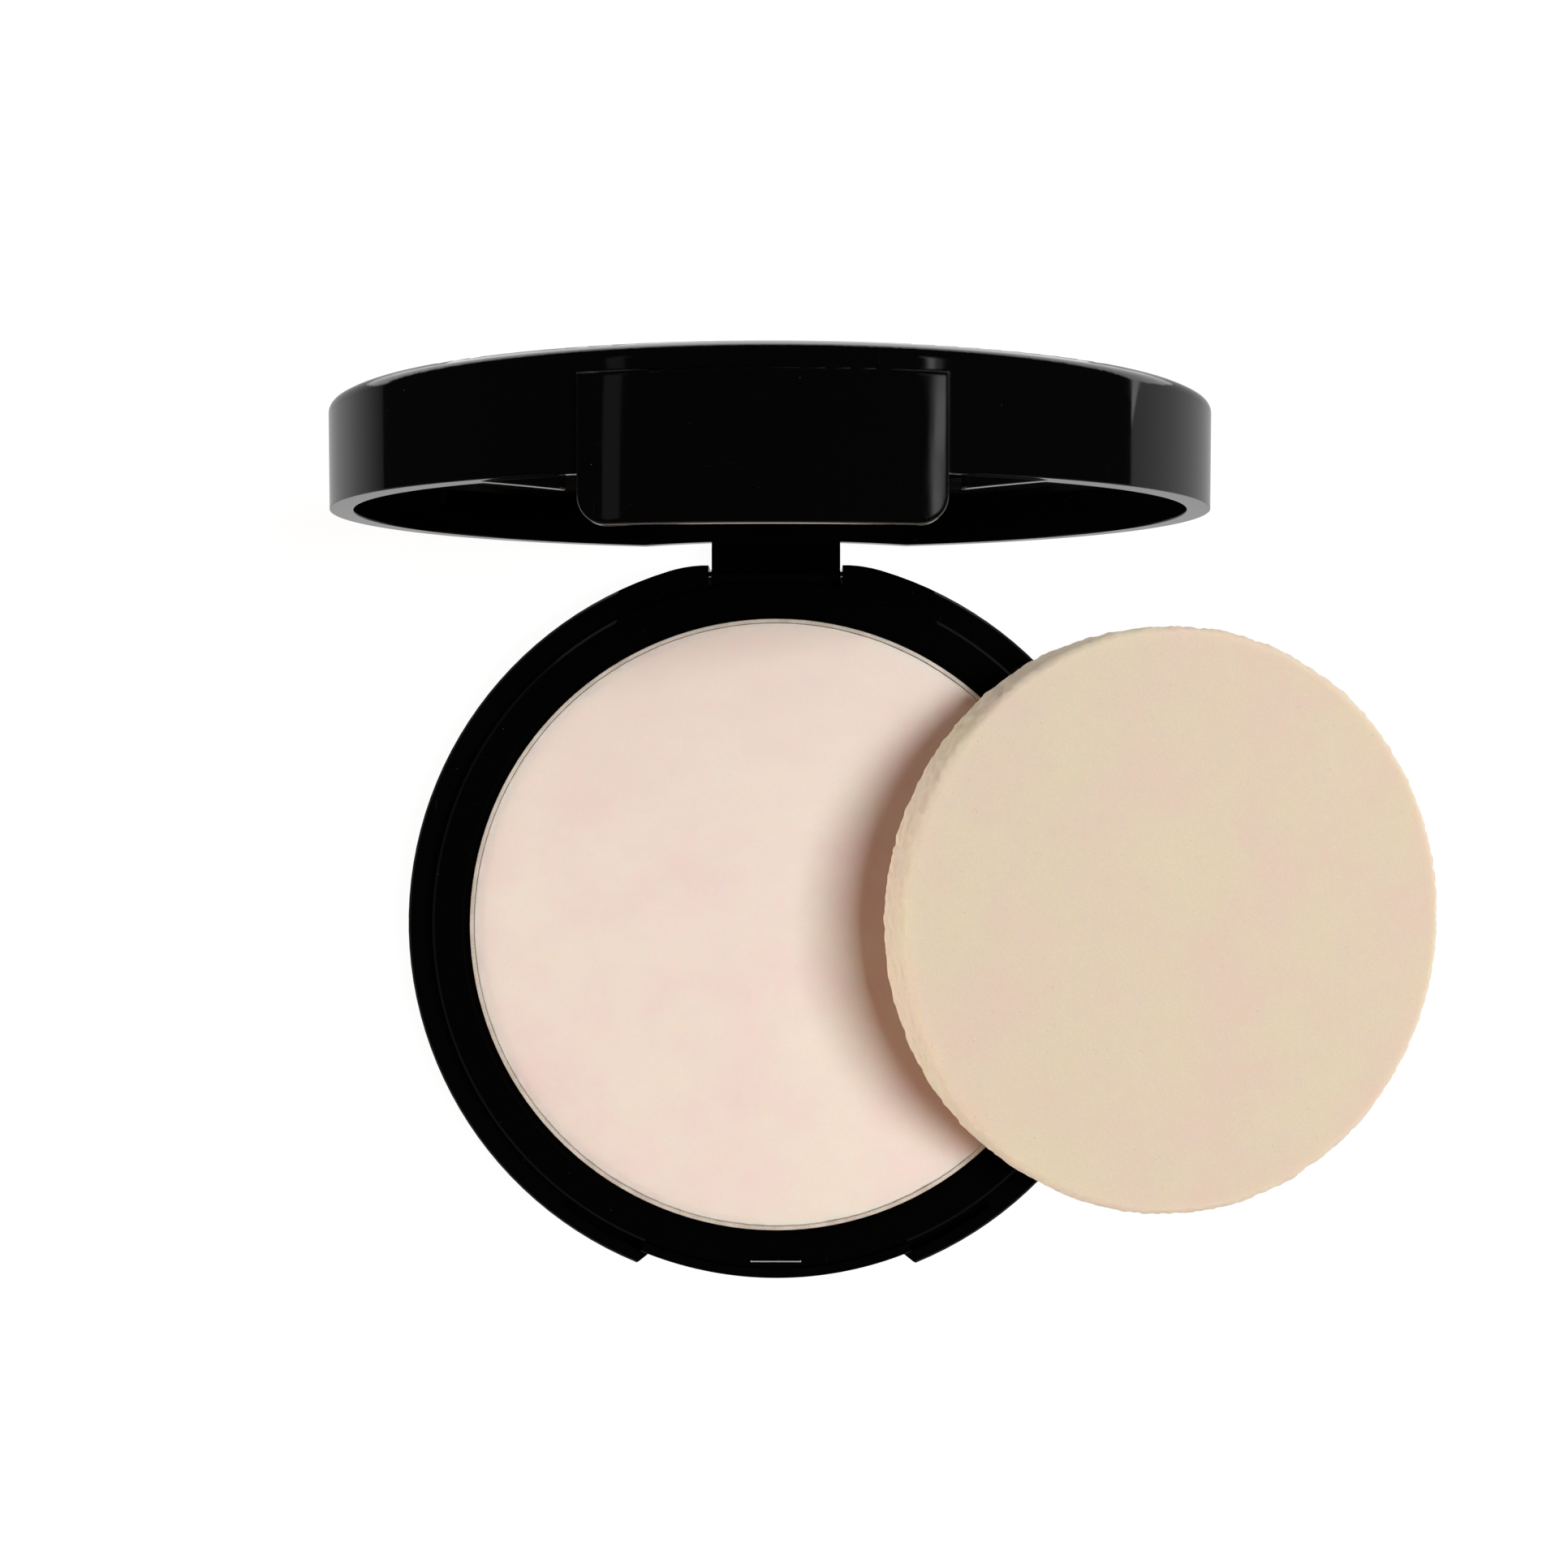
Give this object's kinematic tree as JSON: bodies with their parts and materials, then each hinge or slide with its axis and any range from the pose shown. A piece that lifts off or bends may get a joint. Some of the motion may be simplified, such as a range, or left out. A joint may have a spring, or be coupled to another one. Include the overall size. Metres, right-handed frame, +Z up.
{
  "type": "powder compact",
  "caption": "Round pressed-powder compact with a hinged mirror lid held open, a metal pan of powder and a loose foam sponge leaning on its rim.",
  "frame": {"origin": "on the underside of the base, under the centre of the pan", "axes": "+Z up, out of the underside towards the powder; +Y towards the hinge, -Y towards the front catch; +X towards the sponge"},
  "size_m": [0.1006, 0.0796, 0.0727],
  "materials": {
    "case_gloss": "polished black",
    "insert_gloss": "polished black",
    "lid_gloss": "polished black",
    "frame_plastic": "fine satin black",
    "pin_steel": "drawn wire",
    "pan_metal": "pressed sheet",
    "powder": "pressed mineral powder, matte",
    "glue": "soft hot-melt disc",
    "label_paper": "blank satin sticker",
    "tape": "foam mounting tape",
    "mirror_glass": "silvered glass",
    "sponge_foam": "fine-celled matte foam"
  },
  "bodies": {
    "base": {"base_shell": "case_gloss", "base_insert": "insert_gloss", "hinge_pin": "pin_steel", "bottom_label": "label_paper", "pan_glue": "glue", "powder_pan": "pan_metal", "pressed_powder": "powder"},
    "lid": {"lid_shell": "lid_gloss", "mirror_frame": "frame_plastic", "mirror_tape": "tape", "mirror": "mirror_glass"},
    "sponge": {"sponge": "sponge_foam"}
  },
  "joints": [
    {"name": "lid_hinge", "type": "hinge", "parent": "base", "child": "lid", "pos_m": [0, 0.0333, 0.0034], "axis": [1, 0, 0], "range_deg": [0, 88.2]},
    {"name": "sponge_flip", "type": "hinge", "parent": "base", "child": "sponge", "pos_m": [0.06338, 0.0008, 0.00299], "axis": [0, 1, 0], "range_deg": [0, 163.7]}
  ],
  "couplings": [
    {"joint": "sponge_flip", "follows": "lid_hinge", "ratio": 1.8559}
  ]
}
